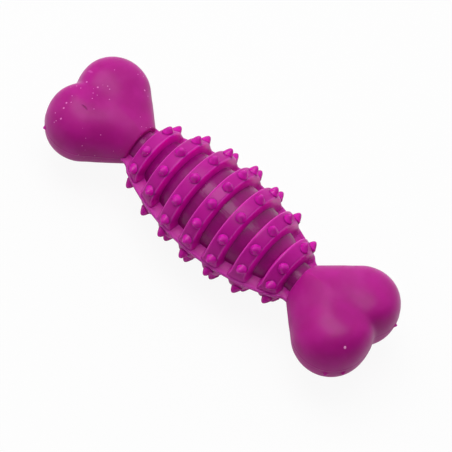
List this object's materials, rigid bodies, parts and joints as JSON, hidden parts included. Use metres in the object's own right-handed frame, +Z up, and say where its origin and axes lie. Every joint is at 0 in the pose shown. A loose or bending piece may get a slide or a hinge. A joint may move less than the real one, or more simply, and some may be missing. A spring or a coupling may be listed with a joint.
{
  "type": "dental chew dumbbell",
  "caption": "Rubber chew dumbbell for dogs: a spindle core with a heart-shaped end on each side and a barrel of nubbed ribs with side webs between them.",
  "frame": {"origin": "on the resting surface under the middle of the bar, at the tip of the lowest nub", "axes": "+X along the bar towards the right heart, +Z up, square to the seam plane that both hearts and the webs lie in"},
  "size_m": [0.1506, 0.0456, 0.0452],
  "materials": {
    "core_rubber": "glossy",
    "heart_rubber": "matte",
    "rib_rubber": "satin"
  },
  "bodies": {
    "root": {"core_bar": "core_rubber", "heart_end_left": "heart_rubber", "heart_end_right": "heart_rubber", "upper_rib_shell": "rib_rubber", "lower_rib_shell": "rib_rubber"}
  },
  "joints": []
}
